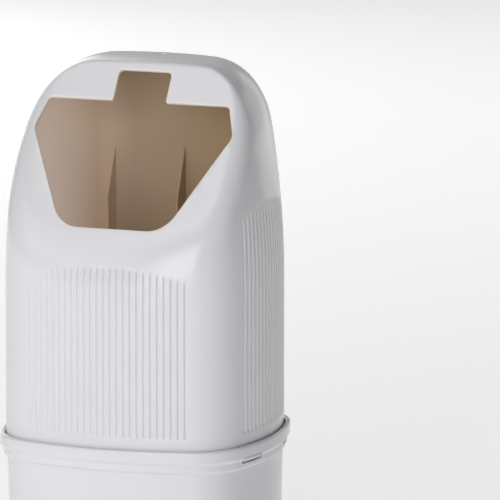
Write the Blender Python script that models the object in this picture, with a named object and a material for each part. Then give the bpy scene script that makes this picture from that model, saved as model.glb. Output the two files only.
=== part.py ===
"""Toilet brush holder: a cup-shaped base, and a tall hood that drops into its collar and clips there.

Metres, +Z up, front towards -Y.  The origin is the middle of the flat face that the holder stands on.
"""
import math

import bmesh
import bpy
import numpy as np
from mathutils import Matrix, Vector

MM = 0.001

# Outline of the hood, seen from above: shallow arcs at the front, back and sides, joined by corner arcs.
WIDTH = 127.2 * MM
DEPTH = 114.0 * MM
FRONT_RADIUS = 138.0 * MM
SIDE_RADIUS = 106.7 * MM
CORNER_RADIUS = 26.6 * MM

# Heights.  The collar's top edge is the level that the hood's own heights are counted from.
BASE_HEIGHT = 100.0 * MM
HOOD_RISE = 175.9 * MM
COLLAR_DEPTH = 9.9 * MM
LIP_DEPTH = 6.2 * MM

# Walls and clearances.
HOOD_WALL = 2.0 * MM
BASE_WALL = 2.0 * MM
FIT_GAP = 0.5 * MM
SEAT_GAP = 0.3 * MM
LIP_PROUD = 2.9 * MM
STEP_PROUD = 1.4 * MM
WALL_INSET = 0.6 * MM
BASE_DRAFT = math.radians(1.2)
LEAD_IN = 0.7 * MM
RIM_ROUND = 1.0 * MM
LIP_ROUND = 0.5 * MM
STEP_SLOPE = 1.5 * MM
FOOT_HEIGHT = 1.5 * MM
FOOT_WIDTH = 6.0 * MM
BOTTOM_ROUND = 4.0 * MM

# The hood's upper part: the sides lean in, the roof is crowned, and a leaning flat carries the opening.
SIDE_LEAN_HEIGHT = 105.9 * MM
SIDE_LEAN_RADIUS = 395.0 * MM
ROOF_RADIUS_ACROSS = 656.0 * MM
ROOF_RADIUS_ALONG = 78.0 * MM
ROOF_SUMMIT_Y = 19.8 * MM
SHOULDER_BLEND = 30.0 * MM
FACE_LEAN = math.radians(35.4)
FACE_TOP_Y = 4.0 * MM

# The opening in the leaning flat, as heights below the flat's top edge.
OPENING_FLOOR_DROP = 71.3 * MM
OPENING_SIDE_DROP = 29.9 * MM
OPENING_HEAD_DROP = 16.9 * MM
NOTCH_DROP = 3.7 * MM
OPENING_FLOOR_HALF = 25.8 * MM
OPENING_SIDE_HALF = 49.6 * MM
OPENING_HEAD_HALF = 44.9 * MM
OPENING_FLOOR_ROUND = 15.0 * MM
OPENING_SIDE_ROUND = 5.0 * MM
OPENING_HEAD_ROUND = 2.5 * MM
NOTCH_HALF = 13.1 * MM
NOTCH_ROUND = 2.0 * MM
NOTCH_MOUTH_ROUND = 1.0 * MM

# Ribbed panels: rows of shallow upright grooves.
GROOVE_PITCH = 3.26 * MM
SIDE_GROOVE_PITCH = 3.6 * MM
GROOVE_RADIUS = 0.9 * MM
GROOVE_DEPTH = 0.45 * MM
FRONT_GROOVES = 25
SIDE_GROOVES = 17
GROOVE_FOOT = 5.9 * MM
FRONT_GROOVE_MARGIN = 1.6 * MM
FRONT_GROOVE_BOW = 6.2 * MM
SIDE_GROOVE_DROP = 61.3 * MM
SIDE_GROOVE_BOW = 6.0 * MM

# Upright guide ribs inside the hood's back wall, deepest near their tops.
GUIDE_RIB_SPACING = 34.0 * MM
GUIDE_RIB_WIDTH = 1.2 * MM
GUIDE_RIB_DEPTH = 11.0 * MM
GUIDE_RIB_DRAFT = math.radians(3.0)
GUIDE_RIB_DROP = 49.9 * MM
GUIDE_RIB_TIP = 24.0 * MM
GUIDE_RIB_FOOT = 12.0 * MM

# Snap clips: tongues in the hood's skirt, whose barbs look out of windows in the collar.
CLIP_FORWARD = 24.0 * MM
WINDOW_SIDE_GAP = 1.5 * MM
WINDOW_SILL = 1.6 * MM
WINDOW_HEIGHT = 3.4 * MM
TONGUE_WIDTH = 14.0 * MM
TONGUE_TOP = 0.9 * MM
TONGUE_WALL = 1.5 * MM
BARB_REACH = 1.9 * MM
BARB_DROP = 0.6 * MM

# Mesh fineness.
COLUMNS = 72
WALL_LEVELS = 4
SHOULDER_ROWS = 15
BAR_SIDES = 6
ARC_STEPS = 4

COLLAR_TOP = BASE_HEIGHT
HOOD_SKIRT = COLLAR_DEPTH - SEAT_GAP
SIDE_LEAN_START = HOOD_RISE - SIDE_LEAN_HEIGHT
FACE_TOP = HOOD_RISE - (FACE_TOP_Y - ROOF_SUMMIT_Y) ** 2 / (2 * ROOF_RADIUS_ALONG)
FACE_FOOT = FACE_TOP - (DEPTH / 2 + FACE_TOP_Y) / math.tan(FACE_LEAN)
FRONT_GROOVE_TOP = FACE_FOOT - FRONT_GROOVE_MARGIN
SIDE_GROOVE_TOP = FACE_TOP - SIDE_GROOVE_DROP
GUIDE_RIB_TOP = HOOD_RISE - GUIDE_RIB_DROP
WINDOW_WIDTH = TONGUE_WIDTH + 2 * WINDOW_SIDE_GAP
WINDOW_TOP = COLLAR_DEPTH - WINDOW_SILL - WINDOW_HEIGHT
HOOD_CENTRE = np.array((0.0, 0.0, SIDE_LEAN_START))


def clear_scene():
    for item in list(bpy.data.objects):
        bpy.data.objects.remove(item, do_unlink=True)


def plastic(name, colour, roughness):
    material = bpy.data.materials.new(name)
    material.use_nodes = True
    shader = material.node_tree.nodes["Principled BSDF"]
    shader.inputs["Base Color"].default_value = (*colour, 1.0)
    shader.inputs["Roughness"].default_value = roughness
    shader.inputs["Metallic"].default_value = 0.0
    return material


def add_object(name, mesh_data, material=None):
    mesh = bpy.data.meshes.new(name)
    mesh_data.to_mesh(mesh)
    mesh_data.free()
    item = bpy.data.objects.new(name, mesh)
    bpy.context.scene.collection.objects.link(item)
    if material:
        mesh.materials.append(material)
    return item


def hide_cutter(item):
    item.hide_render = True
    item.display_type = "WIRE"


def cut(target, cutter, operation="DIFFERENCE"):
    hide_cutter(cutter)
    modifier = target.modifiers.new(cutter.name, "BOOLEAN")
    modifier.operation = operation
    modifier.solver = "EXACT"
    modifier.object = cutter


# ---------------------------------------------------------------- outline seen from above
def corner_centre():
    """Centre of the front right corner arc, which touches the front arc and the side arc."""
    front = Vector((0.0, FRONT_RADIUS - DEPTH / 2))
    side = Vector((WIDTH / 2 - SIDE_RADIUS, 0.0))
    reach_front = FRONT_RADIUS - CORNER_RADIUS
    reach_side = SIDE_RADIUS - CORNER_RADIUS
    between = side - front
    gap = between.length
    along = (reach_front ** 2 - reach_side ** 2 + gap ** 2) / (2 * gap)
    across = math.sqrt(reach_front ** 2 - along ** 2)
    ahead = between / gap
    return front + ahead * along + Vector((-ahead.y, ahead.x)) * across


def outline_angles():
    """Angles from the front, in radians, where the front arc ends and where the side arc starts."""
    centre = corner_centre()
    front_end = math.atan2(centre.x, FRONT_RADIUS - DEPTH / 2 - centre.y)
    side_start = math.atan2(centre.x - (WIDTH / 2 - SIDE_RADIUS), -centre.y)
    return front_end, side_start


CORNER = corner_centre()
FRONT_END, SIDE_START = outline_angles()


def outline_point(turn, offset=0.0):
    """Point of the outline whose outward normal stands at `turn` from the front, moved out by offset."""
    turn = math.remainder(turn, math.tau)
    side = math.copysign(1.0, turn)
    angle = abs(turn)
    back = angle > math.pi / 2
    angle = math.pi - angle if back else angle
    if angle <= FRONT_END:
        centre, radius = (0.0, FRONT_RADIUS - DEPTH / 2), FRONT_RADIUS
    elif angle < SIDE_START:
        centre, radius = CORNER, CORNER_RADIUS
    else:
        centre, radius = (WIDTH / 2 - SIDE_RADIUS, 0.0), SIDE_RADIUS
    x = centre[0] + (radius + offset) * math.sin(angle)
    y = centre[1] - (radius + offset) * math.cos(angle)
    return side * x, -y if back else y


def outline_distance(x, y):
    """How far points lie outside the outline (below zero inside), for arrays of x and y."""
    x, y = np.abs(x), -np.abs(y)
    front = np.hypot(x, y - (FRONT_RADIUS - DEPTH / 2)) - FRONT_RADIUS
    side = np.hypot(x - (WIDTH / 2 - SIDE_RADIUS), y) - SIDE_RADIUS
    dx, dy = x - CORNER.x, y - CORNER.y
    turn = np.arctan2(dx, -dy)
    in_corner = (turn > FRONT_END) & (turn < SIDE_START)
    return np.where(in_corner, np.hypot(dx, dy) - CORNER_RADIUS, np.maximum(front, side))


def even_turns(count):
    """Normal angles whose points are spread evenly round the outline, starting at the back."""
    fine = [-math.pi + math.tau * step / 7200 for step in range(7201)]
    points = [outline_point(turn + 1e-9) for turn in fine]
    lengths = [math.dist(points[i], points[i + 1]) for i in range(7200)]
    travelled = np.concatenate(([0.0], np.cumsum(lengths)))
    wanted = travelled[-1] * np.arange(count) / count
    return np.interp(wanted, travelled, fine)


def turn_at_length(start_turn, length):
    """Normal angle of the outline point that lies `length` round the outline from start_turn."""
    steps = 400
    turn = start_turn
    for _ in range(steps):
        angle = abs(math.remainder(turn, math.tau))
        angle = min(angle, math.pi - angle)
        if angle <= FRONT_END:
            radius = FRONT_RADIUS
        elif angle < SIDE_START:
            radius = CORNER_RADIUS
        else:
            radius = SIDE_RADIUS
        turn += length / steps / radius
    return turn


# ---------------------------------------------------------------- the hood's skin
def smooth_max(first, second, blend):
    """Larger of two distances, with a soft change-over about `blend` wide."""
    near = np.maximum(blend - np.abs(first - second), 0.0)
    return np.maximum(first, second) + near ** 2 / (4 * blend)


def body_distance(points):
    """How far points lie outside the hood's skin, before the leaning flat is cut off it."""
    x, y, z = points.T
    lean = np.maximum(z - SIDE_LEAN_START, 0.0) ** 2 / (2 * SIDE_LEAN_RADIUS)
    narrowing = (WIDTH / 2 - lean) / (WIDTH / 2)
    wall = outline_distance(x / narrowing, y)
    roof = HOOD_RISE - x ** 2 / (2 * ROOF_RADIUS_ACROSS)
    roof = roof - (y - ROOF_SUMMIT_Y) ** 2 / (2 * ROOF_RADIUS_ALONG)
    return smooth_max(wall, z - roof, SHOULDER_BLEND)


def reach_skin(start, directions, inset):
    """Walk from start along each direction to the skin, or to a skin lying `inset` further in."""
    near, far = np.zeros(len(directions)), np.full(len(directions), 2 * HOOD_RISE)
    for _ in range(40):
        middle = (near + far) / 2
        outside = body_distance(start + directions * middle[:, None]) + inset > 0
        near, far = np.where(outside, near, middle), np.where(outside, middle, far)
    return start + directions * near[:, None]


def column_headings():
    """Plan directions, seen from the hood's centre line, of the mesh columns."""
    ends = np.array([outline_point(turn) for turn in even_turns(COLUMNS)])
    return ends / np.hypot(ends[:, 0], ends[:, 1])[:, None]


def skin_rows(inset, foot):
    """Rings of points up the hood's skin, from its foot to the last ring round the roof's pole."""
    headings = column_headings()
    rows = []
    for height in np.linspace(foot, HOOD_CENTRE[2], WALL_LEVELS):
        level = np.column_stack((headings, np.zeros(COLUMNS)))
        rows.append(reach_skin(np.array((0.0, 0.0, height)), level, inset))
    for step in range(1, SHOULDER_ROWS + 1):
        climb = math.pi / 2 * step / (SHOULDER_ROWS + 1)
        rising = np.column_stack((headings * math.cos(climb), np.full(COLUMNS, math.sin(climb))))
        rows.append(reach_skin(HOOD_CENTRE, rising, inset))
    return rows


def add_ring(mesh, points, lift=0.0):
    return [mesh.verts.new((p[0], p[1], p[2] + lift)) for p in points]


def join_rings(mesh, lower, upper):
    count = len(lower)
    for i in range(count):
        j = (i + 1) % count
        mesh.faces.new((lower[i], lower[j], upper[j], upper[i]))


def skin_solid(name, inset, foot):
    """A closed solid that fills the hood's skin, or a skin lying `inset` further in, up from its foot."""
    mesh = bmesh.new()
    rings = [add_ring(mesh, row, COLLAR_TOP) for row in skin_rows(inset, foot)]
    for lower, upper in zip(rings, rings[1:]):
        join_rings(mesh, lower, upper)
    top = reach_skin(HOOD_CENTRE, np.array([(0.0, 0.0, 1.0)]), inset)[0]
    pole = mesh.verts.new((top[0], top[1], top[2] + COLLAR_TOP))
    for i, vert in enumerate(rings[-1]):
        mesh.faces.new((vert, rings[-1][(i + 1) % COLUMNS], pole))
    mesh.faces.new(rings[0])
    bmesh.ops.recalc_face_normals(mesh, faces=mesh.faces)
    return add_object(name, mesh)


def face_cutter(name, inset):
    """A block that takes off all that lies in front of the leaning flat, or of a flat further in."""
    mesh = bmesh.new()
    low = (-WIDTH, -HOOD_RISE, -HOOD_RISE)
    box_between(mesh, low, (WIDTH, inset, HOOD_RISE), face_frame())
    return add_object(name, mesh)


def face_frame():
    """Place of the leaning flat: Y runs into the hood, Z up the flat, from the flat's top edge."""
    lean = Matrix.Rotation(-FACE_LEAN, 4, "X")
    return Matrix.Translation((0.0, FACE_TOP_Y, COLLAR_TOP + FACE_TOP)) @ lean


def box_between(mesh, low, high, place):
    size = [b - a for a, b in zip(low, high)]
    middle = [(a + b) / 2 for a, b in zip(low, high)]
    matrix = place @ Matrix.Translation(middle) @ Matrix.Diagonal((*size, 1.0))
    bmesh.ops.create_cube(mesh, size=1.0, matrix=matrix)


# ---------------------------------------------------------------- the opening
def rounded(corners, segments):
    """Closed outline through corners (x, y, radius), each rounded by an arc that touches both sides."""
    points = []
    for i, (x, y, radius) in enumerate(corners):
        here = Vector((x, y))
        before = (Vector(corners[i - 1][:2]) - here).normalized()
        after = (Vector(corners[(i + 1) % len(corners)][:2]) - here).normalized()
        half = before.angle(after) / 2
        centre = here + (before + after).normalized() * radius / math.sin(half)
        first = here + before * radius / math.tan(half) - centre
        last = here + after * radius / math.tan(half) - centre
        sweep = first.angle_signed(last)
        for step in range(segments + 1):
            spoke = first.copy()
            spoke.rotate(Matrix.Rotation(-sweep * step / segments, 2))
            points.append(centre + spoke)
    return points


def opening_outline():
    """The opening as a rounded outline in front view: across, and height above the collar's top."""
    head, side = FACE_TOP - OPENING_HEAD_DROP, FACE_TOP - OPENING_SIDE_DROP
    right = [
        (OPENING_FLOOR_HALF, FACE_TOP - OPENING_FLOOR_DROP, OPENING_FLOOR_ROUND),
        (OPENING_SIDE_HALF, side, OPENING_SIDE_ROUND),
        (OPENING_HEAD_HALF, head, OPENING_HEAD_ROUND),
        (NOTCH_HALF, head, NOTCH_MOUTH_ROUND),
        (NOTCH_HALF, FACE_TOP - NOTCH_DROP, NOTCH_ROUND),
    ]
    left = [(-x, z, radius) for x, z, radius in reversed(right)]
    return rounded(right + left, ARC_STEPS)


def opening_cutter():
    """A bar with the opening's outline, standing square to the leaning flat."""
    reach = 3 * HOOD_WALL
    mesh = bmesh.new()
    front = []
    for x, height in opening_outline():
        up_the_flat = (height - FACE_TOP) / math.cos(FACE_LEAN)
        front.append(mesh.verts.new(face_frame() @ Vector((x, -reach, up_the_flat))))
    face = mesh.faces.new(front)
    grown = bmesh.ops.extrude_face_region(mesh, geom=[face])["geom"]
    verts = [item for item in grown if isinstance(item, bmesh.types.BMVert)]
    inward = face_frame().to_3x3() @ Vector((0.0, 2 * reach, 0.0))
    bmesh.ops.translate(mesh, vec=inward, verts=verts)
    bmesh.ops.recalc_face_normals(mesh, faces=mesh.faces)
    return add_object("opening_cutter", mesh)


# ---------------------------------------------------------------- the ribbed panels
def groove_bar(mesh, turn, foot, top):
    """One upright bar that cuts a groove where the outline's normal stands at `turn`."""
    x, y = outline_point(turn, GROOVE_RADIUS - GROOVE_DEPTH)
    length = top - foot
    middle = Vector((x, y, COLLAR_TOP + foot + length / 2))
    place = Matrix.Translation(middle) @ Matrix.Rotation(turn, 4, "Z")
    bmesh.ops.create_cone(
        mesh, cap_ends=True, segments=BAR_SIDES, radius1=GROOVE_RADIUS, radius2=GROOVE_RADIUS,
        depth=length, matrix=place,
    )


def groove_cutter():
    mesh = bmesh.new()
    for middle_turn in (0.0, math.pi):
        half = FRONT_GROOVES // 2
        for step in range(-half, half + 1):
            turn = turn_at_length(middle_turn, step * GROOVE_PITCH)
            top = FRONT_GROOVE_TOP - FRONT_GROOVE_BOW * (step / half) ** 2
            groove_bar(mesh, turn, GROOVE_FOOT, top)
    for middle_turn in (math.pi / 2, -math.pi / 2):
        half = SIDE_GROOVES // 2
        for step in range(-half, half + 1):
            turn = turn_at_length(middle_turn, step * SIDE_GROOVE_PITCH)
            top = SIDE_GROOVE_TOP - SIDE_GROOVE_BOW * (step / half) ** 2
            groove_bar(mesh, turn, GROOVE_FOOT, top)
    return add_object("groove_cutter", mesh)


# ---------------------------------------------------------------- clips
def clip_places():
    """Name, middle of the clip on the hood's skin, and outward normal angle, for each clip."""
    turn = math.asin(CLIP_FORWARD / SIDE_RADIUS)
    places = []
    for side_name, side in (("right", 1), ("left", -1)):
        for end_name, forward in (("front", -1), ("rear", 1)):
            angle = side * (math.pi / 2 + forward * turn)
            places.append((f"clip_{end_name}_{side_name}", angle))
    return places


def clip_frame(angle):
    """Place of a clip: X runs out through the wall, Y along it, and the origin is on the skin."""
    x, y = outline_point(angle)
    return Matrix.Translation((x, y, COLLAR_TOP)) @ Matrix.Rotation(angle - math.pi / 2, 4, "Z")


def window_cutter():
    """The slots in the collar that the barbs look out of."""
    mesh = bmesh.new()
    for _, angle in clip_places():
        low = (-BASE_WALL / 2, -WINDOW_WIDTH / 2, -WINDOW_TOP - WINDOW_HEIGHT)
        high = (2 * LIP_PROUD, WINDOW_WIDTH / 2, -WINDOW_TOP)
        box_between(mesh, low, high, clip_frame(angle))
    return add_object("window_cutter", mesh)


def tongue_slot_cutter():
    """The notches in the hood's skirt that leave room for the tongues."""
    mesh = bmesh.new()
    for _, angle in clip_places():
        half = TONGUE_WIDTH / 2 + FIT_GAP
        low = (-2 * HOOD_WALL, -half, -2 * HOOD_SKIRT)
        high = (HOOD_WALL, half, -TONGUE_TOP)
        box_between(mesh, low, high, clip_frame(angle))
    return add_object("tongue_slot_cutter", mesh)


def clip_mesh():
    """Tongue with a barb, drawn in section and extruded along the wall; origin on its bending line."""
    hinge = -TONGUE_TOP - FIT_GAP
    foot = -HOOD_SKIRT - hinge
    tip_low = -WINDOW_TOP - WINDOW_HEIGHT + SEAT_GAP - hinge
    tip_high = -WINDOW_TOP - SEAT_GAP - BARB_DROP - hinge
    outer = TONGUE_WALL / 2
    section = [
        (-outer, 0.0), (-outer, foot), (outer, foot), (outer, tip_low),
        (outer + BARB_REACH, tip_low + BARB_DROP), (outer + BARB_REACH, tip_high),
        (outer, tip_high + BARB_DROP), (outer, 0.0),
    ]
    mesh = bmesh.new()
    end = [mesh.verts.new((x, -TONGUE_WIDTH / 2, z)) for x, z in section]
    face = mesh.faces.new(end)
    grown = bmesh.ops.extrude_face_region(mesh, geom=[face])["geom"]
    verts = [item for item in grown if isinstance(item, bmesh.types.BMVert)]
    bmesh.ops.translate(mesh, vec=(0.0, TONGUE_WIDTH, 0.0), verts=verts)
    bmesh.ops.recalc_face_normals(mesh, faces=mesh.faces)
    return mesh


def make_clips(material):
    for name, angle in clip_places():
        clip = add_object(name, clip_mesh(), material)
        inward = -HOOD_WALL / 2
        place = clip_frame(angle) @ Matrix.Translation((inward, 0.0, -TONGUE_TOP - FIT_GAP))
        clip.matrix_world = place


# ---------------------------------------------------------------- hood
def guide_rib_section(wall):
    """A rib's side view as (Y, height) on a wall at Y = wall; its top slopes back into the wall."""
    tip = GUIDE_RIB_TOP - GUIDE_RIB_TIP
    front = wall - GUIDE_RIB_DEPTH
    return [
        (wall + HOOD_WALL / 2, GUIDE_RIB_FOOT),
        (front + (tip - GUIDE_RIB_FOOT) * math.tan(GUIDE_RIB_DRAFT), GUIDE_RIB_FOOT),
        (front, tip),
        (wall, GUIDE_RIB_TOP),
        (wall + HOOD_WALL / 2, GUIDE_RIB_TOP),
    ]


def guide_ribs():
    """Three upright ribs on the inside of the back wall, which keep the brush off it."""
    mesh = bmesh.new()
    for step in (-1, 0, 1):
        x = step * GUIDE_RIB_SPACING
        wall = outline_point(math.asin(x / FRONT_RADIUS) + math.pi)[1] - HOOD_WALL
        section = guide_rib_section(wall)
        left, right = (
            add_ring(mesh, [(x + side, y, z) for y, z in section], COLLAR_TOP)
            for side in (-GUIDE_RIB_WIDTH / 2, GUIDE_RIB_WIDTH / 2)
        )
        join_rings(mesh, left, right)
        mesh.faces.new(left)
        mesh.faces.new(right)
    bmesh.ops.recalc_face_normals(mesh, faces=mesh.faces)
    return add_object("guide_ribs", mesh)


def make_hood(material):
    hood = skin_solid("hood", 0.0, -HOOD_SKIRT)
    hood.data.materials.append(material)
    cavity = skin_solid("hood_cavity", HOOD_WALL, -2 * HOOD_SKIRT)
    cut(cavity, face_cutter("cavity_face_cutter", HOOD_WALL))
    cut(hood, face_cutter("face_cutter", 0.0))
    cut(hood, cavity)
    cut(hood, guide_ribs(), "UNION")
    cut(hood, opening_cutter())
    cut(hood, groove_cutter())
    cut(hood, tongue_slot_cutter())
    return hood


# ---------------------------------------------------------------- base
def arc(centre, radius, start, end):
    """Points of an arc in a section, between two angles in degrees, anticlockwise from +X."""
    angles = [math.radians(start + (end - start) * step / ARC_STEPS) for step in range(ARC_STEPS + 1)]
    return [(centre[0] + radius * math.cos(a), centre[1] + radius * math.sin(a)) for a in angles]


def base_profile():
    """Section of the base as (offset from the hood's outline, height), from the foot round to inside."""
    ledge = COLLAR_TOP - COLLAR_DEPTH
    lip_foot = COLLAR_TOP - LIP_DEPTH
    wall_top = ledge - STEP_SLOPE
    wall_foot = -WALL_INSET - (wall_top - BOTTOM_ROUND) * math.tan(BASE_DRAFT)
    ring_out = wall_foot - BOTTOM_ROUND
    ring_in = ring_out - FOOT_WIDTH
    return [
        (ring_in, FOOT_HEIGHT),
        (ring_in, 0.0),
        *arc((ring_out, BOTTOM_ROUND), BOTTOM_ROUND, -90, 0),
        (-WALL_INSET, wall_top),
        (STEP_PROUD, ledge),
        (STEP_PROUD, lip_foot),
        (LIP_PROUD - LIP_ROUND, lip_foot),
        (LIP_PROUD, lip_foot + LIP_ROUND),
        *arc((LIP_PROUD - RIM_ROUND, COLLAR_TOP - RIM_ROUND), RIM_ROUND, 0, 90),
        (FIT_GAP + LEAD_IN, COLLAR_TOP),
        (FIT_GAP, COLLAR_TOP - LEAD_IN),
        (FIT_GAP, ledge),
        (-WALL_INSET - BASE_WALL, ledge),
        (-WALL_INSET - BASE_WALL, wall_top - BASE_WALL),
        (wall_foot - BASE_WALL, FOOT_HEIGHT + BASE_WALL + BOTTOM_ROUND),
        (ring_out - BASE_WALL, FOOT_HEIGHT + BASE_WALL),
    ]


def make_base(material):
    turns = even_turns(COLUMNS)
    mesh = bmesh.new()
    rings = []
    for offset, height in base_profile():
        points = [(*outline_point(turn, offset), height) for turn in turns]
        rings.append(add_ring(mesh, points))
    for lower, upper in zip(rings, rings[1:]):
        join_rings(mesh, lower, upper)
    mesh.faces.new(rings[0])
    mesh.faces.new(rings[-1])
    bmesh.ops.recalc_face_normals(mesh, faces=mesh.faces)
    base = add_object("base", mesh, material)
    cut(base, window_cutter())
    return base


def main():
    clear_scene()
    white = (0.80, 0.79, 0.80)
    make_base(plastic("base_plastic", white, 0.35))
    make_hood(plastic("hood_plastic", white, 0.35))
    make_clips(plastic("clip_plastic", white, 0.35))


main()
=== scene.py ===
# %% [markdown]
# # A toilet brush holder in moulded plastic
# The holder is two thin mouldings: a cup that catches the drips, and a tall hood that clips into the
# cup's collar.  The hood's front leans back, and a wide opening there, with a notch for the handle,
# lets the brush in.  This lesson builds the finish-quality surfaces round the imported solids, which
# already hold the sizes, the clips' hinges and the slide that lets the hood lift off.

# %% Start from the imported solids
import math

import bpy
import numpy as np
from mathutils import Matrix, Vector


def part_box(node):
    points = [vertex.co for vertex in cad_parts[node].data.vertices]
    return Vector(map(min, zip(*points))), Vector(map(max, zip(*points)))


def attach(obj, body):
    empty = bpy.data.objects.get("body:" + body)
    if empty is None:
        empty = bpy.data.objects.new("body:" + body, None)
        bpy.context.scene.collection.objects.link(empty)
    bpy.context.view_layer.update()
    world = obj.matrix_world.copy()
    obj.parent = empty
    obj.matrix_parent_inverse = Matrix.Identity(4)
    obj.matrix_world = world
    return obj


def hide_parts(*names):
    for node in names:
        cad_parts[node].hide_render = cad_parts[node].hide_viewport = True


MM = 0.001
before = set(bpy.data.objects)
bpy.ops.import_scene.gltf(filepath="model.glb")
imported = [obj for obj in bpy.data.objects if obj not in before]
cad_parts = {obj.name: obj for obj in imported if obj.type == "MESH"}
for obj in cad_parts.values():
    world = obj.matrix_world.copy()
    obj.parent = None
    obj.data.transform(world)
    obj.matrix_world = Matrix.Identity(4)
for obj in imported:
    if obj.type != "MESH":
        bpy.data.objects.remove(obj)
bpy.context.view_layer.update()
for item in bpy.context.selected_objects:
    item.select_set(False)

# %% [markdown]
# ## Where things stand
# Everything is placed from the solids' own boxes.  The collar's top edge is the most useful level on
# this object, because the hood, the grooves and the opening are all set out upwards from it and the
# collar is set out downwards.  So heights below are counted from the collar, and only turned into
# world heights when a mesh is made.

# %% Levels and overall sizes
hood_low, hood_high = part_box("hood")
_, base_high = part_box("base")
COLLAR_TOP = base_high[2]
WIDTH = hood_high[0] - hood_low[0]
DEPTH = hood_high[1] - hood_low[1]
HOOD_RISE = hood_high[2] - COLLAR_TOP
SKIRT = COLLAR_TOP - hood_low[2]
print(f"hood {WIDTH / MM:.1f} x {DEPTH / MM:.1f} mm, rising {HOOD_RISE / MM:.1f} mm over the collar")

# %% [markdown]
# ## The outline seen from above
# Both mouldings follow one outline: a rounded rectangle whose sides bulge a little.  It could be a
# subdivided square, but then its roundness would depend on the subdivision.  Four kinds of arc that
# touch each other give the exact curve, and a point on it can be asked for by the direction that the
# wall faces there, called its turn: zero faces the front, a quarter turn faces the right side.

# %% Outline made of arcs
FRONT_RADIUS = 138.0 * MM
SIDE_RADIUS = 106.7 * MM
CORNER_RADIUS = 26.6 * MM
FRONT_MIDDLE = np.array((0.0, FRONT_RADIUS - DEPTH / 2))
SIDE_MIDDLE = np.array((WIDTH / 2 - SIDE_RADIUS, 0.0))


def touching_corner():
    """Middle of the corner arc that touches the front arc and the side arc."""
    between = SIDE_MIDDLE - FRONT_MIDDLE
    gap = np.hypot(*between)
    front_reach = FRONT_RADIUS - CORNER_RADIUS
    side_reach = SIDE_RADIUS - CORNER_RADIUS
    along = (front_reach**2 - side_reach**2 + gap**2) / (2 * gap)
    across = math.sqrt(front_reach**2 - along**2)
    ahead = between / gap
    return FRONT_MIDDLE + ahead * along + np.array((-ahead[1], ahead[0])) * across


CORNER_MIDDLE = touching_corner()
FRONT_END = math.atan2(CORNER_MIDDLE[0], FRONT_MIDDLE[1] - CORNER_MIDDLE[1])
SIDE_START = math.atan2(CORNER_MIDDLE[0] - SIDE_MIDDLE[0], -CORNER_MIDDLE[1])


def outline(turns, offset=0.0):
    """Points of the outline where the wall faces each turn, moved outwards by offset."""
    turns = np.remainder(np.asarray(turns) + math.pi, math.tau) - math.pi
    angle = np.abs(turns)
    back = angle > math.pi / 2
    angle = np.where(back, math.pi - angle, angle)
    at_front, at_side = angle <= FRONT_END, angle >= SIDE_START
    radius = np.where(at_front, FRONT_RADIUS, np.where(at_side, SIDE_RADIUS, CORNER_RADIUS))
    middle = np.where(at_side[:, None], SIDE_MIDDLE, CORNER_MIDDLE)
    middle = np.where(at_front[:, None], FRONT_MIDDLE, middle)
    side = np.where(turns >= 0, 1.0, -1.0)
    x = (middle[:, 0] + (radius + offset) * np.sin(angle)) * side
    y = middle[:, 1] - (radius + offset) * np.cos(angle)
    return np.column_stack((x, np.where(back, -y, y)))


def outline_distance(x, y):
    """How far points lie outside the outline, below zero inside."""
    x, y = np.abs(x), -np.abs(y)
    front = np.hypot(x - FRONT_MIDDLE[0], y - FRONT_MIDDLE[1]) - FRONT_RADIUS
    side = np.hypot(x - SIDE_MIDDLE[0], y - SIDE_MIDDLE[1]) - SIDE_RADIUS
    corner_x, corner_y = x - CORNER_MIDDLE[0], y - CORNER_MIDDLE[1]
    turn = np.arctan2(corner_x, -corner_y)
    in_corner = (turn > FRONT_END) & (turn < SIDE_START)
    return np.where(in_corner, np.hypot(corner_x, corner_y) - CORNER_RADIUS, np.maximum(front, side))


print(f"corner arc from {math.degrees(FRONT_END):.1f} to {math.degrees(SIDE_START):.1f} degrees")

# %% [markdown]
# ## The hood's skin as distances
# The hood is an upright wall whose sides lean in, closed by a crowned roof, with a leaning flat taken
# off the front.  Each of those three is easy to write as a distance: below zero inside, above zero
# outside.  The largest of them is the whole shape, and a soft largest, which eases over from one to
# the next, also gives the rounds between them.  The flat meets the walls in a soft round low down and
# in a crisp edge at the roof, so that round gets smaller with height.

# %% Distances to the skin
SIDE_LEAN_START = 70.0 * MM
SIDE_LEAN_RADIUS = 395.0 * MM
ROOF_RADIUS_ACROSS = 656.0 * MM
ROOF_RADIUS_ALONG = 78.0 * MM
ROOF_SUMMIT_Y = 19.8 * MM
SHOULDER_BLEND = 30.0 * MM
FACE_LEAN = math.radians(35.4)
FACE_TOP_Y = 4.0 * MM
FACE_TOP = HOOD_RISE - (FACE_TOP_Y - ROOF_SUMMIT_Y) ** 2 / (2 * ROOF_RADIUS_ALONG)
SOFT_EDGE = 9.5 * MM
CRISP_EDGE = 0.8 * MM
CRISPER_FROM = 141.0 * MM
CRISP_FROM = 167.0 * MM
SKIN_HALVINGS = 34


def soft_largest(first, second, ease):
    """The larger of two distances, eased over where the two come within `ease` of each other."""
    near = np.maximum(ease - np.abs(first - second), 0.0)
    return np.maximum(first, second) + near**2 / (4 * ease)


def body_distance(points):
    """Distance to the walls and the roof alone."""
    x, y, z = points.T
    lean = np.maximum(z - SIDE_LEAN_START, 0.0) ** 2 / (2 * SIDE_LEAN_RADIUS)
    wall = outline_distance(x * (WIDTH / 2) / (WIDTH / 2 - lean), y)
    fall_across = x**2 / (2 * ROOF_RADIUS_ACROSS)
    fall_along = (y - ROOF_SUMMIT_Y) ** 2 / (2 * ROOF_RADIUS_ALONG)
    roof = HOOD_RISE - fall_across - fall_along
    return soft_largest(wall, z - roof, SHOULDER_BLEND)


def face_distance(points):
    """Distance to the leaning flat alone."""
    y, z = points[:, 1], points[:, 2]
    return -(y - FACE_TOP_Y) * math.cos(FACE_LEAN) + (z - FACE_TOP) * math.sin(FACE_LEAN)


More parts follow.
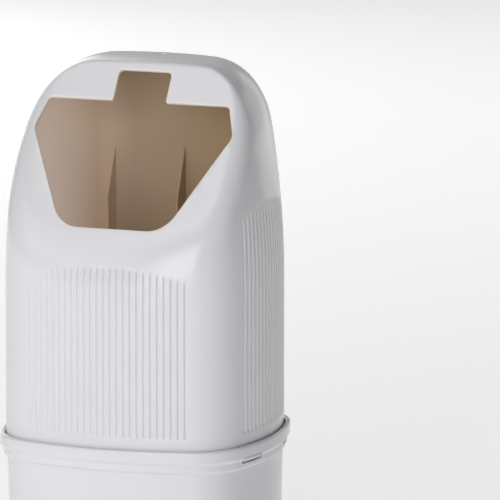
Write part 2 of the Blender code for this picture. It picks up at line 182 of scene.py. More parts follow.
def skin_distance(points):
    share = np.clip((points[:, 2] - CRISPER_FROM) / (CRISP_FROM - CRISPER_FROM), 0.0, 1.0)
    ease = SOFT_EDGE + (CRISP_EDGE - SOFT_EDGE) * share
    return soft_largest(body_distance(points), face_distance(points), ease)


def reach(starts, directions, inset=0.0, distance=skin_distance):
    """Walk from each start along its direction to the skin, or to one `inset` further in."""
    near, far = np.zeros(len(directions)), np.full(len(directions), HOOD_RISE)
    for _ in range(SKIN_HALVINGS):
        middle = (near + far) / 2
        outside = distance(starts + directions * middle[:, None]) + inset > 0
        near, far = np.where(outside, near, middle), np.where(outside, middle, far)
    return starts + directions * near[:, None]


print(f"the leaning flat ends {FACE_TOP / MM:.1f} mm over the collar")

# %% [markdown]
# ## A sheet rolled into a solid
# A moulding has one thin skin all round.  A plane of many faces, rolled round like a label and then
# welded along its seam, gives such a skin with neat rows and columns, and the columns can be put
# exactly where the fine grooves need them.  The sheet's first and last rows shrink to a point each,
# so the welded solid is closed.

# %% Rolling a sheet
WELD = 0.002 * MM


def rolled(name, rings):
    """A closed solid from rings of points, an array of rows by columns by three."""
    rows, columns, _ = rings.shape
    bpy.ops.mesh.primitive_grid_add(x_subdivisions=columns, y_subdivisions=rows - 1, size=1.0)
    piece = bpy.context.object
    piece.name = piece.data.name = name
    flat = np.empty(len(piece.data.vertices) * 3, np.float32)
    piece.data.vertices.foreach_get("co", flat)
    flat = flat.reshape(-1, 3)
    column = np.rint((flat[:, 0] + 0.5) * columns).astype(int) % columns
    row = np.rint((flat[:, 1] + 0.5) * (rows - 1)).astype(int)
    piece.data.vertices.foreach_set("co", rings[row, column].astype(np.float32).ravel())
    bpy.ops.object.mode_set(mode="EDIT")
    bpy.ops.mesh.select_all(action="SELECT")
    bpy.ops.mesh.remove_doubles(threshold=WELD)
    bpy.ops.mesh.normals_make_consistent(inside=False)
    bpy.ops.object.mode_set(mode="OBJECT")
    piece.select_set(False)
    return piece


def point_ring(x, y, z, columns):
    return np.tile((x, y, z), (columns, 1))


def apply_modifier(piece, kind, **settings):
    """Add a modifier with its settings and apply it at once."""
    bpy.context.view_layer.objects.active = piece
    modifier = piece.modifiers.new(kind.lower(), kind)
    for key, value in settings.items():
        setattr(modifier, key, value)
    bpy.ops.object.modifier_apply(modifier=modifier.name)


def cut(piece, cutter, operation="DIFFERENCE"):
    """Cut one solid by another, or join them, and throw the cutter away."""
    apply_modifier(
        piece, "BOOLEAN", object=cutter, operation=operation, solver="EXACT", material_mode="TRANSFER"
    )
    bpy.data.objects.remove(cutter, do_unlink=True)


print("sheet tools ready")

# %% [markdown]
# ## Shader sums written as sums
# A finish is worked out per point by small nodes.  Wiring them by hand hides the thought, so a socket
# is wrapped in a class whose plus and times add the right node.  Numbers use Math nodes, and colours
# use Mix, because a Math node would turn a colour grey.

# %% A socket that can be added and multiplied


class Wire:
    """A node's output that can be used in an ordinary expression."""

    def __init__(self, finish, socket):
        self.finish, self.socket = finish, socket

    def _math(self, operation, first, second):
        return self.finish.node("ShaderNodeMath", {"operation": operation}, {0: first, 1: second})

    def __add__(self, other):
        return self._math("ADD", self, other)

    def __mul__(self, other):
        return self._math("MULTIPLY", self, other)

    __radd__, __rmul__ = __add__, __mul__


class Finish:
    """A material whose nodes are added one call at a time."""

    def __init__(self, name):
        self.material = bpy.data.materials.new(name)
        self.material.use_nodes = True
        self.tree = self.material.node_tree
        self.shader = self.tree.nodes["Principled BSDF"]

    def feed(self, socket, value):
        if isinstance(value, Wire):
            self.tree.links.new(value.socket, socket)
        else:
            socket.default_value = value

    def node(self, kind, settings=None, inputs=None, output=0):
        """Add any node: settings first, then the values or wires of its sockets."""
        made = self.tree.nodes.new(kind)
        for key, value in (settings or {}).items():
            setattr(made, key, value)
        for key, value in (inputs or {}).items():
            self.feed(made.inputs[key], value)
        return Wire(self, made.outputs[output])

    def blend(self, share, first, second):
        """A colour between two, by share."""
        inputs = {0: share, 6: first, 7: second}
        return self.node("ShaderNodeMix", {"data_type": "RGBA"}, inputs, output=2)

    def noise(self, place, scale, detail=2.0):
        inputs = {"Vector": place, "Scale": scale, "Detail": detail}
        return self.node("ShaderNodeTexNoise", {}, inputs)

    def ramp(self, value, start, end):
        """A share that climbs from 0 to 1 as the value goes from start to end."""
        return self.node("ShaderNodeMapRange", {}, {0: value, 1: start, 2: end})

    def bump(self, height, strength):
        inputs = {"Height": height, "Strength": strength, "Distance": 1.0}
        return self.node("ShaderNodeBump", {}, inputs)

    def glow(self, strength, colour):
        self.set(emission_color=colour)
        self.shader.inputs["Emission Strength"].default_value = strength

    def set(self, **values):
        for key, value in values.items():
            self.feed(self.shader.inputs[key.replace("_", " ").title().replace("Ior", "IOR")], value)


print("shader sums ready")

# %% [markdown]
# ## The white plastic
# Household polypropylene is off-white, faintly cool, and smooth but never a mirror: the mould's polish
# and the shrinking plastic leave a very slight waviness, which is what breaks up its reflections.
# A plain colour would look like paint, so the colour drifts a little, the gloss drifts with it, and
# two scales of shallow bump stand for the flow marks and the fine skin.

# %% Outer finish
OBJECT_PLACE = 3
WHITE = (0.80, 0.796, 0.826, 1.0)
WHITE_SHADE = (0.775, 0.768, 0.794, 1.0)
WAVE_SCALE, SKIN_SCALE = 28.0, 900.0
WAVE_HEIGHT, SKIN_HEIGHT = 0.25 * MM, 0.004 * MM
WAVE_STRENGTH = 0.35
DULLNESS, DULL_DRIFT, DULL_GRAIN = 0.17, 0.06, 0.03
PLASTIC_IOR = 1.49


def white_plastic():
    finish = Finish("white_plastic")
    place = finish.node("ShaderNodeTexCoord", output=OBJECT_PLACE)
    broad = finish.noise(place, WAVE_SCALE)
    fine = finish.noise(place, SKIN_SCALE, detail=1.0)
    colour = finish.blend(broad * 0.6 + fine * 0.15, WHITE, WHITE_SHADE)
    bump = finish.bump(broad * WAVE_HEIGHT + fine * SKIN_HEIGHT, WAVE_STRENGTH)
    dullness = DULLNESS + broad * DULL_DRIFT + fine * DULL_GRAIN
    finish.set(base_color=colour, roughness=dullness, normal=bump, ior=PLASTIC_IOR)
    return finish.material


outer_finish = white_plastic()
print("outer finish:", outer_finish.name)

# %% [markdown]
# ## The hood's inside
# Light reaches the inside of the hood by soaking through the thin wall and by bouncing about in
# there, and at each bounce it loses some blue, so the same plastic looks tan in the deep part.  A true
# scattering wall would take many bounces; instead the faces inside are painted a warmer, darker
# colour as painted shade and bounced light, deepening away from the lit side, and the lit side has a
# painted glow for the light that the wall lets through.

# %% Inner painted shade and glow
# Painted shade and bounced light: both inside colours are darker and warmer than the white plastic.
PAINTED_SHADE_NEAR = (0.60, 0.50, 0.40, 1.0)
PAINTED_SHADE_DEEP = (0.47, 0.33, 0.18, 1.0)
# Painted glow for the light that comes through the wall, brightest on the left inside wall.
GLOW_NEAR = (0.36, 0.31, 0.28, 1.0)
GLOW_MIDDLE = (0.10, 0.074, 0.052, 1.0)
GLOW_END = (0.0, 0.0, 0.0, 1.0)
# The rim's warm colours and its glow are painted light coming out of the cut wall.
RIM_LIGHT = (0.80, 0.77, 0.73, 1.0)
RIM_WARM = (0.77, 0.72, 0.66, 1.0)
RIM_GLOW = (0.085, 0.072, 0.058, 1.0)
GLOW_FROM, GLOW_HALF, GLOW_TO = -60.0 * MM, -42.0 * MM, -24.0 * MM
SHADE_DEEP_FROM = 0.2 * WIDTH
DRIFT_SCALE, RIM_SCALE = 24.0, 60.0
DRIFT_HEIGHT, DRIFT_STRENGTH = 0.3 * MM, 0.4
INSIDE_DULLNESS, RIM_DULLNESS, INNER_DRIFT = 0.42, 0.3, 0.1


def inside_painted_shade_and_glow():
    finish = Finish("inside_painted_shade_and_glow")
    place = finish.node("ShaderNodeTexCoord", output=OBJECT_PLACE)
    across = finish.node("ShaderNodeSeparateXYZ", {}, {0: place})
    drift = finish.noise(place, DRIFT_SCALE)
    # Painted shade: darker and warmer towards the right, away from the lit side.
    right = finish.ramp(across, -WIDTH / 2, SHADE_DEEP_FROM)
    colour = finish.blend(right * 0.75 + drift * 0.25, PAINTED_SHADE_NEAR, PAINTED_SHADE_DEEP)
    # Painted glow: strongest on the left, and gone before the middle.
    lit = finish.blend(finish.ramp(across, GLOW_FROM, GLOW_HALF), GLOW_NEAR, GLOW_MIDDLE)
    glow = finish.blend(finish.ramp(across, GLOW_HALF, GLOW_TO), lit, GLOW_END)
    bump = finish.bump(drift * DRIFT_HEIGHT, DRIFT_STRENGTH)
    finish.set(base_color=colour, roughness=INSIDE_DULLNESS + drift * INNER_DRIFT, normal=bump)
    finish.glow(1.0, glow)
    return finish.material


def rim_painted_glow():
    """The opening's thin rim, painted warm and glowing for light that has travelled along the wall."""
    finish = Finish("rim_painted_glow")
    place = finish.node("ShaderNodeTexCoord", output=OBJECT_PLACE)
    drift = finish.noise(place, RIM_SCALE)
    colour = finish.blend(drift, RIM_LIGHT, RIM_WARM)
    finish.set(base_color=colour, roughness=RIM_DULLNESS + drift * INNER_DRIFT)
    finish.glow(1.0, RIM_GLOW)
    return finish.material


inner_painted_shade_and_glow = inside_painted_shade_and_glow()
rim_painted_glow_finish = rim_painted_glow()
print("inner finishes:", inner_painted_shade_and_glow.name, rim_painted_glow_finish.name)

# %% [markdown]
# ## Where the hood's columns go
# The grooved panels decide the columns: each groove needs five across its hollow and one on the flat
# beside it, and the plain corners need only enough to stay round.  Placing columns by turn keeps them
# on the outline, since along one arc a length is simply the turn times the radius.

# %% Columns of the skin
FRONT_PITCH = 3.26 * MM
SIDE_PITCH = 3.6 * MM
FRONT_GROOVES = 25
SIDE_GROOVES = 17
GROOVE_HALF = 0.92 * MM
GROOVE_DEPTH = 0.75 * MM
GROOVE_FOOT = 5.9 * MM
GROOVE_END = 1.6 * MM
CORNER_COLUMNS = 22
ACROSS_GROOVE = ((-1.0, 0.0), (-0.5, 0.75), (0.0, 1.0), (0.5, 0.75), (1.0, 0.0))


def panel_columns(middle, radius, pitch, count):
    """Rows of (turn, share of the groove's depth, place of the groove in its panel)."""
    found = []
    half = count // 2
    for step in range(-half, half + 1):
        for side, depth in ACROSS_GROOVE:
            turn = middle + (step * pitch + side * GROOVE_HALF) / radius
            found.append((turn, depth, step / half))
        if step < half:
            found.append((middle + (step + 0.5) * pitch / radius, 0.0, step / half))
    return found


def skin_columns():
    """Columns right round, from the back by the left side, with a panel's name for each."""
    panels = []
    for quarter in range(4):
        middle = -math.pi + quarter * math.pi / 2
        front = quarter % 2 == 0
        radius, pitch = (FRONT_RADIUS, FRONT_PITCH) if front else (SIDE_RADIUS, SIDE_PITCH)
        count = FRONT_GROOVES if front else SIDE_GROOVES
        panels.append([(*row, front) for row in panel_columns(middle, radius, pitch, count)])
    columns = []
    for panel, following in zip(panels, panels[1:] + panels[:1]):
        start, end = panel[-1][0], following[0][0]
        end = end + math.tau if end < start else end
        plain = np.linspace(start, end, CORNER_COLUMNS + 2)[1:-1]
        columns += panel + [(turn, 0.0, 0.0, panel[0][3]) for turn in plain]
    return np.array(columns)


columns = skin_columns()
print(len(columns), "columns")

# %% [markdown]
# ## Rows up the wall, rows over the shoulder
# Low down the rows are level, close together where the grooves start and end.  Above the grooves they
# fan out from a point inside the hood, like the ribs of an umbrella, which suits a round shoulder.
# The crisp edge at the top of the leaning flat needs a row exactly on it, so each column first finds
# how far it climbs before it leaves the flat, and its rows are shared out below and above that.

# %% The hood's rings
FRONT_TOP, FRONT_DROP = 86.9 * MM, 6.2 * MM
SIDE_TOP, SIDE_DROP = 113.0 * MM, 6.0 * MM
FAN_MIDDLE = np.array((0.0, ROOF_SUMMIT_Y, 116.0 * MM))
FAN_ROWS, ROOF_ROWS = 34, 16
LEAST_CLIMB = math.radians(40.0)
CROWDING = 1.6
EDGE_HALVINGS = 30


def level_heights():
    """Heights of the level rows, closer where a groove starts, or ends on the front or the side."""
    foot = [-SKIRT / MM, -SKIRT / MM + 0.5, -3.0, 0.0, 3.0, 4.8, 5.3, 5.7, 6.1, 6.6, 7.4]
    spans = [(14, 78, 9), (79.6, 87.6, 13), (89, 105, 11), (106.2, 113.8, 12), (115, 116, 2)]
    heights = foot + [height for span in spans for height in np.linspace(*span)]
    return np.array(heights) * MM


def groove_depths(height):
    """How deep each column lies under the plain skin at one height."""
    share, place, front = columns[:, 1], columns[:, 2], columns[:, 3] > 0.5
    top = np.where(front, FRONT_TOP - FRONT_DROP * place**2, SIDE_TOP - SIDE_DROP * place**2)
    rising = np.clip((height - GROOVE_FOOT) / GROOVE_END + 0.5, 0.0, 1.0)
    ending = np.clip((top - height) / GROOVE_END, 0.0, 1.0)
    ease = np.minimum(rising, ending)
    return GROOVE_DEPTH * share * ease * ease * (3 - 2 * ease)


def headings_from(middle):
    """Directions of the columns in plan, as seen from a point inside."""
    away = outline(columns[:, 0]) - middle[:2]
    away = away / np.hypot(*away.T)[:, None]
    return np.column_stack((away, np.zeros(len(away))))


def climb_to_edge(headings):
    """Climb at which each column leaves the leaning flat over its edge with the roof or the side."""
    low, high = np.zeros(len(headings)), np.full(len(headings), math.pi / 2)
    for _ in range(EDGE_HALVINGS):
        climb = (low + high) / 2
        hits = reach(FAN_MIDDLE, raised(headings, climb), 0.0, body_distance)
        on_flat = face_distance(hits) > 0
        low, high = np.where(on_flat, climb, low), np.where(on_flat, high, climb)
    return np.maximum(low, LEAST_CLIMB)


def raised(headings, climb):
    """The headings tilted up by a climb each."""
    tilted = headings * np.cos(climb)[:, None]
    tilted[:, 2] = np.sin(climb)
    return tilted


# The gate mark: rings of a small dimple with a pip in it, as radius and rise in millimetres.
PIP_RINGS = ((3.0, 0.0), (2.2, -0.35), (1.3, -0.35), (1.1, -0.05), (0.5, 0.0))


def hood_rings():
    headings = headings_from(FAN_MIDDLE)
    count = len(columns)
    rings = [point_ring(0.0, 0.0, -SKIRT, count)]
    for height in level_heights():
        wall = reach(np.array((*FAN_MIDDLE[:2], height)), headings)
        inward = np.column_stack((np.sin(columns[:, 0]), -np.cos(columns[:, 0]), np.zeros(count)))
        rings.append(wall - inward * groove_depths(height)[:, None])
    edge = climb_to_edge(headings)
    for share in np.arange(1, FAN_ROWS + 1) / FAN_ROWS:
        climb = edge * (1 - (1 - share) ** CROWDING)
        rings.append(reach(FAN_MIDDLE, raised(headings, climb)))
    for share in np.arange(1, ROOF_ROWS + 1) / (ROOF_ROWS + 1):
        climb = edge + (math.pi / 2 - edge) * share**CROWDING
        rings.append(reach(FAN_MIDDLE, raised(headings, climb)))
    for radius, lift in PIP_RINGS:
        around = headings * radius * MM + np.array((0.0, ROOF_SUMMIT_Y, HOOD_RISE + lift * MM))
        rings.append(around)
    rings.append(point_ring(0.0, ROOF_SUMMIT_Y, HOOD_RISE, count))
    return np.array(rings) + np.array((0.0, 0.0, COLLAR_TOP))


hood = rolled("hood_moulding", hood_rings())
hood.data.materials.append(outer_finish)
print("hood skin:", len(hood.data.polygons), "faces")

# %% [markdown]
# ## Hollowing the hood
# A thickness could be given with Solidify, but the grooves would then print through to the inside and
# the count of faces would double.  A mould has a separate core for the inside, and so has this: a
# second, coarser solid a wall further in, with slots in it where the plastic of the guide ribs flows.
# A rib is a block with two planes' worth shaved off, one for the draft and one for the sloping top.
# Cutting the core out of the hood leaves the wall, and the core's painted shade and glow come across
# with its faces.

# %% The core
HOOD_WALL = 2.0 * MM
CORE_COLUMNS = 180
CORE_ROWS = 36
RIB_SPACING, RIB_WIDTH, RIB_DEPTH = 34.0 * MM, 1.2 * MM, 11.0 * MM
RIB_TOP, RIB_TIP, RIB_FOOT, RIB_ROUND = 126.0 * MM, 24.0 * MM, 12.0 * MM, 0.45 * MM
RIB_DRAFT = math.radians(3.0)
BEVEL_STEPS = 3


def core_rings():
    turns = np.linspace(-math.pi, math.pi, CORE_COLUMNS, endpoint=False)
    away = outline(turns) - FAN_MIDDLE[:2]
    headings = np.column_stack((away / np.hypot(*away.T)[:, None], np.zeros(CORE_COLUMNS)))
    rings = [point_ring(0.0, 0.0, -2 * SKIRT, CORE_COLUMNS)]
    for height in np.linspace(-2 * SKIRT, FAN_MIDDLE[2], CORE_ROWS):
        rings.append(reach(np.array((*FAN_MIDDLE[:2], height)), headings, HOOD_WALL))
    for step in range(1, CORE_ROWS):
        climb = np.full(CORE_COLUMNS, math.pi / 2 * step / CORE_ROWS)
        rings.append(reach(FAN_MIDDLE, raised(headings, climb), HOOD_WALL))
    rings.append(point_ring(0.0, ROOF_SUMMIT_Y, HOOD_RISE - HOOD_WALL, CORE_COLUMNS))
    return np.array(rings) + np.array((0.0, 0.0, COLLAR_TOP))


def block(name, low, high, round_by=0.0):
    """A box between two corners with rounded edges, added as a cube and bevelled."""
    middle = [(a + b) / 2 for a, b in zip(low, high)]
    size = [b - a for a, b in zip(low, high)]
    bpy.ops.mesh.primitive_cube_add(size=1.0, location=middle)
    piece = bpy.context.object
    piece.name = name
    piece.scale = size
    bpy.ops.object.transform_apply(location=True, rotation=True, scale=True)
    if round_by:
        apply_modifier(piece, "BEVEL", width=round_by, segments=BEVEL_STEPS, limit_method="ANGLE")
    piece.select_set(False)
    return piece


def shave(piece, point, outwards):
    """Take off what lies beyond a plane, and close the solid there."""
    bpy.context.view_layer.objects.active = piece
    bpy.ops.object.mode_set(mode="EDIT")
    bpy.ops.mesh.select_all(action="SELECT")
    bpy.ops.mesh.bisect(
        plane_co=point, plane_no=outwards, use_fill=True, clear_outer=True, threshold=WELD / 2
    )
    bpy.ops.object.mode_set(mode="OBJECT")


def guide_rib(x):
    """One rib on the back wall: its front leans with the mould's draft, and its top slopes back."""
    wall = DEPTH / 2 - FRONT_RADIUS + math.sqrt(FRONT_RADIUS**2 - x**2) - HOOD_WALL
    front = wall - RIB_DEPTH
    low = (x - RIB_WIDTH / 2, front, COLLAR_TOP + RIB_FOOT)
    high = (x + RIB_WIDTH / 2, wall + HOOD_WALL, COLLAR_TOP + RIB_TOP)
    rib = block("rib", low, high)
    tip = (x, front, COLLAR_TOP + RIB_TOP - RIB_TIP)
    shave(rib, tip, (0.0, -math.cos(RIB_DRAFT), -math.sin(RIB_DRAFT)))
    shave(rib, tip, (0.0, -RIB_TIP, RIB_DEPTH))
    rib.data.materials.append(inner_painted_shade_and_glow)
    apply_modifier(rib, "BEVEL", width=RIB_ROUND, segments=BEVEL_STEPS, limit_method="ANGLE")
    return rib


def core():
    solid = rolled("core", core_rings())
    solid.data.materials.append(inner_painted_shade_and_glow)
    for step in (-1, 0, 1):
        cut(solid, guide_rib(step * RIB_SPACING))
    return solid


hood_core = core()
print("core:", len(hood_core.data.polygons), "faces")

# %% [markdown]
# ## The opening
# The opening is drawn on the leaning flat: a wide mouth with soft lower corners, and a square notch
# for the handle above it.  Its edge is softened by the mould, and that thin round is what catches the
# light along the whole rim.  Bevelling the rim after the cut would meet hundreds of tiny edges, so the
# cutter itself is flared at both skins: what it leaves behind is already round.

# %% The opening's outline and its flared cutter
# Corners of the right half: distance across, height over the collar, and round, in millimetres.
MOUTH = (
    (25.8, 103.0, 15.0),
    (49.6, 144.4, 5.0),
    (44.9, 157.4, 2.5),
    (13.1, 157.4, 1.2),
    (13.1, 170.6, 2.2),
)
RIM_ROUND = 0.55 * MM
ARC_STEPS, RIM_STEPS, STRAIGHT_STEP = 8, 4, 3.0
PROBE_DEPTH, CUTTER_PROUD = 12.0 * MM, 2.0 * MM


def rounded_outline(corners):
    """Points and outward directions along a closed outline of corners (x, height, radius)."""
    points, outward = [], []
    for i, (x, z, radius) in enumerate(corners):
        here = np.array((x, z))
        before = np.array(corners[i - 1][:2]) - here
        after = np.array(corners[(i + 1) % len(corners)][:2]) - here
        before, after = before / np.hypot(*before), after / np.hypot(*after)
        bend = before[0] * after[1] - before[1] * after[0]
        half = math.acos(np.clip(before @ after, -1.0, 1.0)) / 2
        middle = here + (before + after) / np.hypot(*(before + after)) * radius / math.sin(half)
        first = here + before * radius / math.tan(half) - middle
        sweep = (math.pi - 2 * half) * (-1.0 if bend > 0 else 1.0)
        for step in range(ARC_STEPS + 1):
            angle = sweep * step / ARC_STEPS
            turned = np.array((
                first[0] * math.cos(angle) - first[1] * math.sin(angle),
                first[0] * math.sin(angle) + first[1] * math.cos(angle),
            ))
            points.append(middle + turned)
            outward.append(turned / radius * (1.0 if sweep > 0 else -1.0))
    return np.array(points), np.array(outward)


def divided(points, outward):
    """The same outline with points added along its straight runs."""
    found, directions = [], []
    for i in range(len(points)):
        ahead = points[(i + 1) % len(points)]
        parts = max(1, int(np.hypot(*(ahead - points[i])) / STRAIGHT_STEP))
        for part in range(parts):
            found.append(points[i] + (ahead - points[i]) * part / parts)
            directions.append(outward[i])
    return np.array(found), np.array(directions)


def flat_point(x, z):
    """Points of the leaning flat from places across it and heights over the collar."""
    return np.column_stack((x, FACE_TOP_Y + (z - FACE_TOP) * math.tan(FACE_LEAN), z))


def mouth_rings():
    """Rings of the cutter from in front of the skin to behind the wall, wider at both faces."""
    left = [(-x, z, radius) for x, z, radius in reversed(MOUTH)]
    points, outward = divided(*rounded_outline(list(MOUTH) + left))
    points = points * MM
    inward = np.array((0.0, math.cos(FACE_LEAN), -math.sin(FACE_LEAN)))
    inwards = np.tile(inward, (len(points), 1))
    far = flat_point(points[:, 0], points[:, 1]) + inward * PROBE_DEPTH
    skin = reach(far, -inwards)
    depth = (skin - flat_point(points[:, 0], points[:, 1])) @ inward
    arc = np.linspace(0.0, math.pi / 2, RIM_STEPS + 1)
    flare = RIM_ROUND * (1 - np.sin(arc))
    sink = RIM_ROUND * (1 - np.cos(arc))
    levels = [(-CUTTER_PROUD, RIM_ROUND)] + [(s, f) for s, f in zip(sink, flare)]
    levels += [(HOOD_WALL - s, f) for s, f in zip(sink[::-1], flare[::-1])]
    levels += [(3 * HOOD_WALL, RIM_ROUND)]
    rings = []
    for level, spread in levels:
        moved = points + outward * spread
        rings.append(flat_point(moved[:, 0], moved[:, 1]) + inward * (depth + level)[:, None])
    ends = [np.tile(ring.mean(axis=0), (len(points), 1)) for ring in (rings[0], rings[-1])]
    return np.array([ends[0], *rings, ends[1]]) + np.array((0.0, 0.0, COLLAR_TOP))


mouth = rolled("mouth", mouth_rings())
# The rim's faces take this cutter's painted warm colour and glow.
mouth.data.materials.append(rim_painted_glow_finish)
print("mouth cutter:", len(mouth.data.polygons), "faces")

# %% [markdown]
# ## Slots for the tongues
# Four springy tongues stand in notches of the skirt and snap into the collar.  The notches are plain
# slots, so four blocks cut them: one block is made for each clip and turned to face out through the
# wall there.

# %% Slots in the skirt
CLIP_FORWARD = 24.0 * MM
TONGUE_WIDTH, TONGUE_TOP, FIT_GAP = 14.0 * MM, 0.9 * MM, 0.5 * MM
CLIPS = ("clip_front_right", "clip_rear_right", "clip_front_left", "clip_rear_left")


def clip_turns():
    """The turn of the wall at each clip, by the clip's name."""
    quarter, lean = math.pi / 2, math.asin(CLIP_FORWARD / SIDE_RADIUS)
    return dict(zip(CLIPS, (quarter - lean, quarter + lean, lean - quarter, -quarter - lean)))


def face_outwards(piece, turn):
    """Turn a block made round the origin to face out, and stand it on the outline at a turn."""
    x, y = outline([turn])[0]
    place = Matrix.Translation((x, y, COLLAR_TOP)) @ Matrix.Rotation(turn - math.pi / 2, 4, "Z")
    piece.data.transform(place)
    piece.data.update()


for clip_turn in clip_turns().values():
    half = TONGUE_WIDTH / 2 + FIT_GAP
    slot = block("slot", (-3 * HOOD_WALL, -half, -2 * SKIRT), (HOOD_WALL, half, -TONGUE_TOP))
    slot.data.materials.append(outer_finish)
    face_outwards(slot, clip_turn)
    cut(hood_core, slot, "UNION")
cut(hood_core, mouth, "UNION")
cut(hood, hood_core)
print("hood:", len(hood.data.polygons), "faces after the cuts")

# %% [markdown]
# ## Smooth shading, and the hood's place
# Booleans leave some faces with many corners.  Smoothing by angle keeps the skirt's edges sharp
# while the shoulders stay round.

# %% Finish the hood
SHARP_ANGLE = 32.0


def smooth(piece, degrees):
    bpy.ops.object.select_all(action="DESELECT")
    piece.select_set(True)
    bpy.context.view_layer.objects.active = piece
    bpy.ops.object.shade_smooth_by_angle(angle=math.radians(degrees))
    piece.select_set(False)


def settle(piece, body, *nodes):
    """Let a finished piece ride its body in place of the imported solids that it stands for."""
    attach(piece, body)
    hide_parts(*nodes)
    print(piece.name, "rides", body, "with", len(piece.data.polygons), "faces")


smooth(hood, SHARP_ANGLE)
settle(hood, "hood", "hood")

# %% [markdown]
# ## The base
# The base is one section carried round the outline: a foot ring, a wall with a little draft, a stepped
# collar, the socket for the hood, and the inside.  Spin would turn it round an axis, but this outline
# isn't a circle.  So the section's corners are rounded first, each point becomes a ring a set distance
# outside the outline, and the rings are rolled up like the hood's.

# %% The base's section and body
BASE_WALL, WALL_INSET, LIP_PROUD, STEP_PROUD = 2.0, 0.6, 2.9, 1.4
COLLAR_DEPTH, LIP_DEPTH, STEP_SLOPE = 9.9, 6.2, 1.5
SOCKET_GAP, FOOT_HEIGHT, FOOT_WIDTH, BOTTOM_ROUND = 0.5, 1.5, 6.0, 4.0
BASE_DRAFT = math.radians(1.2)
BASE_COLUMNS, FINE_TURNS = 288, 7201


def even_turns(count):
    """Turns whose points lie evenly round the outline."""
    fine = np.linspace(-math.pi, math.pi, FINE_TURNS)
    steps = np.hypot(*np.diff(outline(fine), axis=0).T)
    travelled = np.concatenate(([0.0], np.cumsum(steps)))
    return np.interp(travelled[-1] * np.arange(count) / count, travelled, fine)


def base_section():
    """Corners of the section: how far outside the outline, height over the collar's top, and round."""
    floor = -COLLAR_TOP / MM
    wall_top = -COLLAR_DEPTH - STEP_SLOPE
    wall_foot = -WALL_INSET - (wall_top - floor) * math.tan(BASE_DRAFT)
    ring_in = wall_foot - BOTTOM_ROUND - FOOT_WIDTH
    half_slope = STEP_SLOPE / 2
    return [
        (ring_in, floor + FOOT_HEIGHT, 0.2),
        (ring_in, floor, 0.3),
        (wall_foot, floor, BOTTOM_ROUND),
        (-WALL_INSET, wall_top, 0.5),
        (STEP_PROUD, -COLLAR_DEPTH, 0.35),
        (STEP_PROUD, -LIP_DEPTH - half_slope, 0.6),
        (LIP_PROUD, -LIP_DEPTH + half_slope, 0.7),
        (LIP_PROUD, 0.0, 1.0),
        (SOCKET_GAP, 0.0, 0.7),
        (SOCKET_GAP, -COLLAR_DEPTH, 0.2),
        (-WALL_INSET - BASE_WALL, -COLLAR_DEPTH, 0.5),
        (wall_foot - BASE_WALL, floor + FOOT_HEIGHT + BASE_WALL, BOTTOM_ROUND),
        (ring_in, floor + FOOT_HEIGHT + BASE_WALL, 0.2),
    ]


def base_rings():
    turns = even_turns(BASE_COLUMNS)
    section, _ = rounded_outline(base_section())
    rings = []
    for offset, height in section:
        ring = outline(turns, offset * MM)
        rings.append(np.column_stack((ring, np.full(BASE_COLUMNS, height * MM))))
    first, last = rings[0][0, 2], rings[-1][0, 2]
    start = point_ring(0.0, 0.0, first, BASE_COLUMNS)
    end = point_ring(0.0, 0.0, last, BASE_COLUMNS)
    return np.array([start, *rings, end]) + np.array((0.0, 0.0, COLLAR_TOP))


base = rolled("base_moulding", base_rings())
base.data.materials.append(outer_finish)
print("base skin:", len(base.data.polygons), "faces")

# %% [markdown]
# ## Windows in the collar
# The barbs snap into short windows through the lip.  Each is a rounded block's cut.

# %% Cut the windows
WINDOW_WIDTH, WINDOW_TOP, WINDOW_HEIGHT, WINDOW_ROUND = 17.0 * MM, 4.9 * MM, 3.4 * MM, 0.5 * MM

for clip_turn in clip_turns().values():
    low = (-BASE_WALL * MM / 2, -WINDOW_WIDTH / 2, -WINDOW_TOP - WINDOW_HEIGHT)
    window = block("window", low, (2 * LIP_PROUD * MM, WINDOW_WIDTH / 2, -WINDOW_TOP), WINDOW_ROUND)
    window.data.materials.append(outer_finish)
    face_outwards(window, clip_turn)
    cut(base, window)
smooth(base, SHARP_ANGLE)
settle(base, "base", "base")

# %% [markdown]
# ## The clips
# Each tongue's solid already has the right section, hinge and barb.  Only its edges are too sharp to
# catch any light, so a welded copy of each is bevelled and stands in for it.

# %% Soften the clips
CLIP_ROUND = 0.25 * MM
FLAT_ANGLE = math.radians(1.0)


def soft_copy(node):
    piece = bpy.data.objects[node].copy()
    piece.data = piece.data.copy()
    piece.name = piece.data.name = node + "_moulding"
    bpy.context.collection.objects.link(piece)
    bpy.ops.object.select_all(action="DESELECT")
    piece.select_set(True)
    bpy.context.view_layer.objects.active = piece
    bpy.ops.object.mode_set(mode="EDIT")
    bpy.ops.mesh.select_all(action="SELECT")
    bpy.ops.mesh.remove_doubles(threshold=WELD)
    bpy.ops.mesh.dissolve_limited(angle_limit=FLAT_ANGLE)
    bpy.ops.object.mode_set(mode="OBJECT")
    apply_modifier(piece, "BEVEL", width=CLIP_ROUND, segments=BEVEL_STEPS, limit_method="ANGLE")
    piece.data.materials.clear()
    piece.data.materials.append(outer_finish)
    return piece


for clip in CLIPS:
    tongue = soft_copy(clip)
    smooth(tongue, SHARP_ANGLE)
    settle(tongue, clip, clip)

# %% [markdown]
# ## A pale sweep to stand on
# The floor is one wide, matt, pale sheet.  It runs far back, so that a level camera sees nothing else.

# %% Floor
FLOOR_SIZE = 24.0
FLOOR_GLOW = 0.35
PAPER_SCALE, PAPER_DULLNESS = 60.0, 0.9
PAPER_GREY = (0.93, 0.93, 0.935, 1.0)
PAPER_WHITE = (0.95, 0.95, 0.95, 1.0)


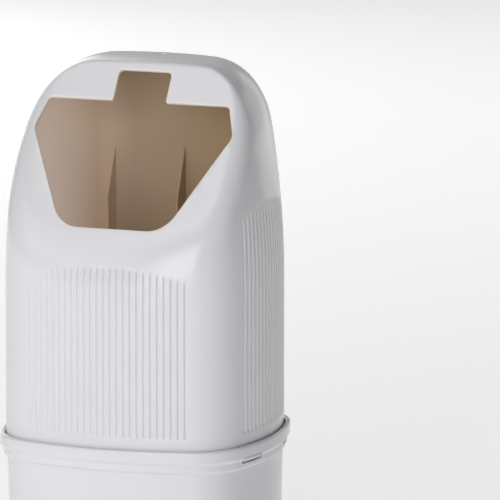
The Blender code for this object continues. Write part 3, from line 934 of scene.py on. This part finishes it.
def floor_paper():
    finish = Finish("floor_paper")
    place = finish.node("ShaderNodeTexCoord", output=OBJECT_PLACE)
    grain = finish.noise(place, PAPER_SCALE)
    colour = finish.blend(grain, PAPER_GREY, PAPER_WHITE)
    finish.set(base_color=colour, roughness=PAPER_DULLNESS)
    finish.glow(FLOOR_GLOW, (1.0, 1.0, 1.0, 1.0))
    return finish.material


bpy.ops.mesh.primitive_plane_add(size=FLOOR_SIZE, location=(0.0, 0.0, 0.0))
floor = bpy.context.object
floor.name = "floor"
floor.data.materials.append(floor_paper())
floor.select_set(False)
print("floor", FLOOR_SIZE, "m wide")

# %% [markdown]
# ## Light
# A studio lights white plastic with big soft sources, and shapes it with what they leave dark.  The
# three front boxes stand to the left of the camera and leave the right-hand side in soft shade.  Dim
# boxes behind draw the edges, a thin strip overhead lights the roof, and the floor glows a little, as
# a lit paper sweep does.

# %% Lights


def softbox(name, azimuth, height, distance, size, power):
    """A rectangular light facing the holder; azimuth turns from the front towards the right."""
    angle = math.radians(azimuth)
    place = np.array((math.sin(angle) * distance, -math.cos(angle) * distance, height))
    bpy.ops.object.light_add(type="AREA", location=place)
    lamp = bpy.context.object
    lamp.name = name
    lamp.data.shape = "RECTANGLE"
    lamp.data.size, lamp.data.size_y = size
    lamp.data.energy = power
    aim = Vector((0.0, 0.0, COLLAR_TOP)) - lamp.location
    lamp.rotation_euler = aim.to_track_quat("-Z", "Y").to_euler()
    lamp.select_set(False)
    return lamp


# Name, azimuth in degrees, height, distance, size in metres, and power in watts.
SOFTBOXES = (
    ("front_box", -35.0, 1.3, 2.2, (1.6, 1.4), 10.5),
    ("front_low", 6.0, 0.6, 2.2, (1.0, 1.2), 15.5),
    ("front_high", -15.0, 2.6, 1.6, (1.4, 1.4), 15.5),
    ("left_back", -140.0, 0.8, 1.8, (1.0, 1.4), 7.0),
    ("rim_right", 165.0, 0.5, 2.0, (1.0, 1.0), 3.1),
    ("rim_left", -165.0, 0.8, 2.2, (2.0, 1.4), 3.5),
    ("top_strip", 180.0, 3.0, 1.0, (2.4, 0.12), 14.0),
)
SURROUND_STRENGTH = 0.02
for box in SOFTBOXES:
    softbox(*box)
surround = bpy.data.worlds.new("surround")
bpy.context.scene.world = surround
surround.use_nodes = True
backdrop = surround.node_tree.nodes["Background"]
backdrop.inputs["Color"].default_value = (1.0, 1.0, 1.0, 1.0)
backdrop.inputs["Strength"].default_value = SURROUND_STRENGTH
bpy.context.scene.view_settings.view_transform = "Standard"
print(len(SOFTBOXES), "soft lights and a dim surround")

# %% [markdown]
# ## The camera
# A long lens from over three metres away keeps the upright walls nearly parallel.  It stands to the
# right of the front and a little above, and it is aimed beside the hood, so that the holder fills the
# left of the picture and the cup runs out of the bottom of it.

# %% Camera
CAMERA_AZIMUTH, CAMERA_ELEVATION = math.radians(19.2), math.radians(10.55)
CAMERA_DISTANCE, LENS, SENSOR = 3.359, 507.8, 36.0
AIM = (0.0426, 0.0286, COLLAR_TOP + 0.0822)


def add_camera():
    flat, rise = math.cos(CAMERA_ELEVATION), math.sin(CAMERA_ELEVATION)
    back = Vector((math.sin(CAMERA_AZIMUTH) * flat, -math.cos(CAMERA_AZIMUTH) * flat, rise))
    bpy.ops.object.camera_add(location=Vector(AIM) + back * CAMERA_DISTANCE)
    camera = bpy.context.object
    camera.rotation_mode = "QUATERNION"
    camera.rotation_quaternion = (-back).to_track_quat("-Z", "Y")
    camera.data.sensor_width, camera.data.lens = SENSOR, LENS
    camera.data.clip_end = 100.0
    camera.select_set(False)
    return camera


bpy.context.scene.camera = add_camera()
print("camera", CAMERA_DISTANCE, "m away")
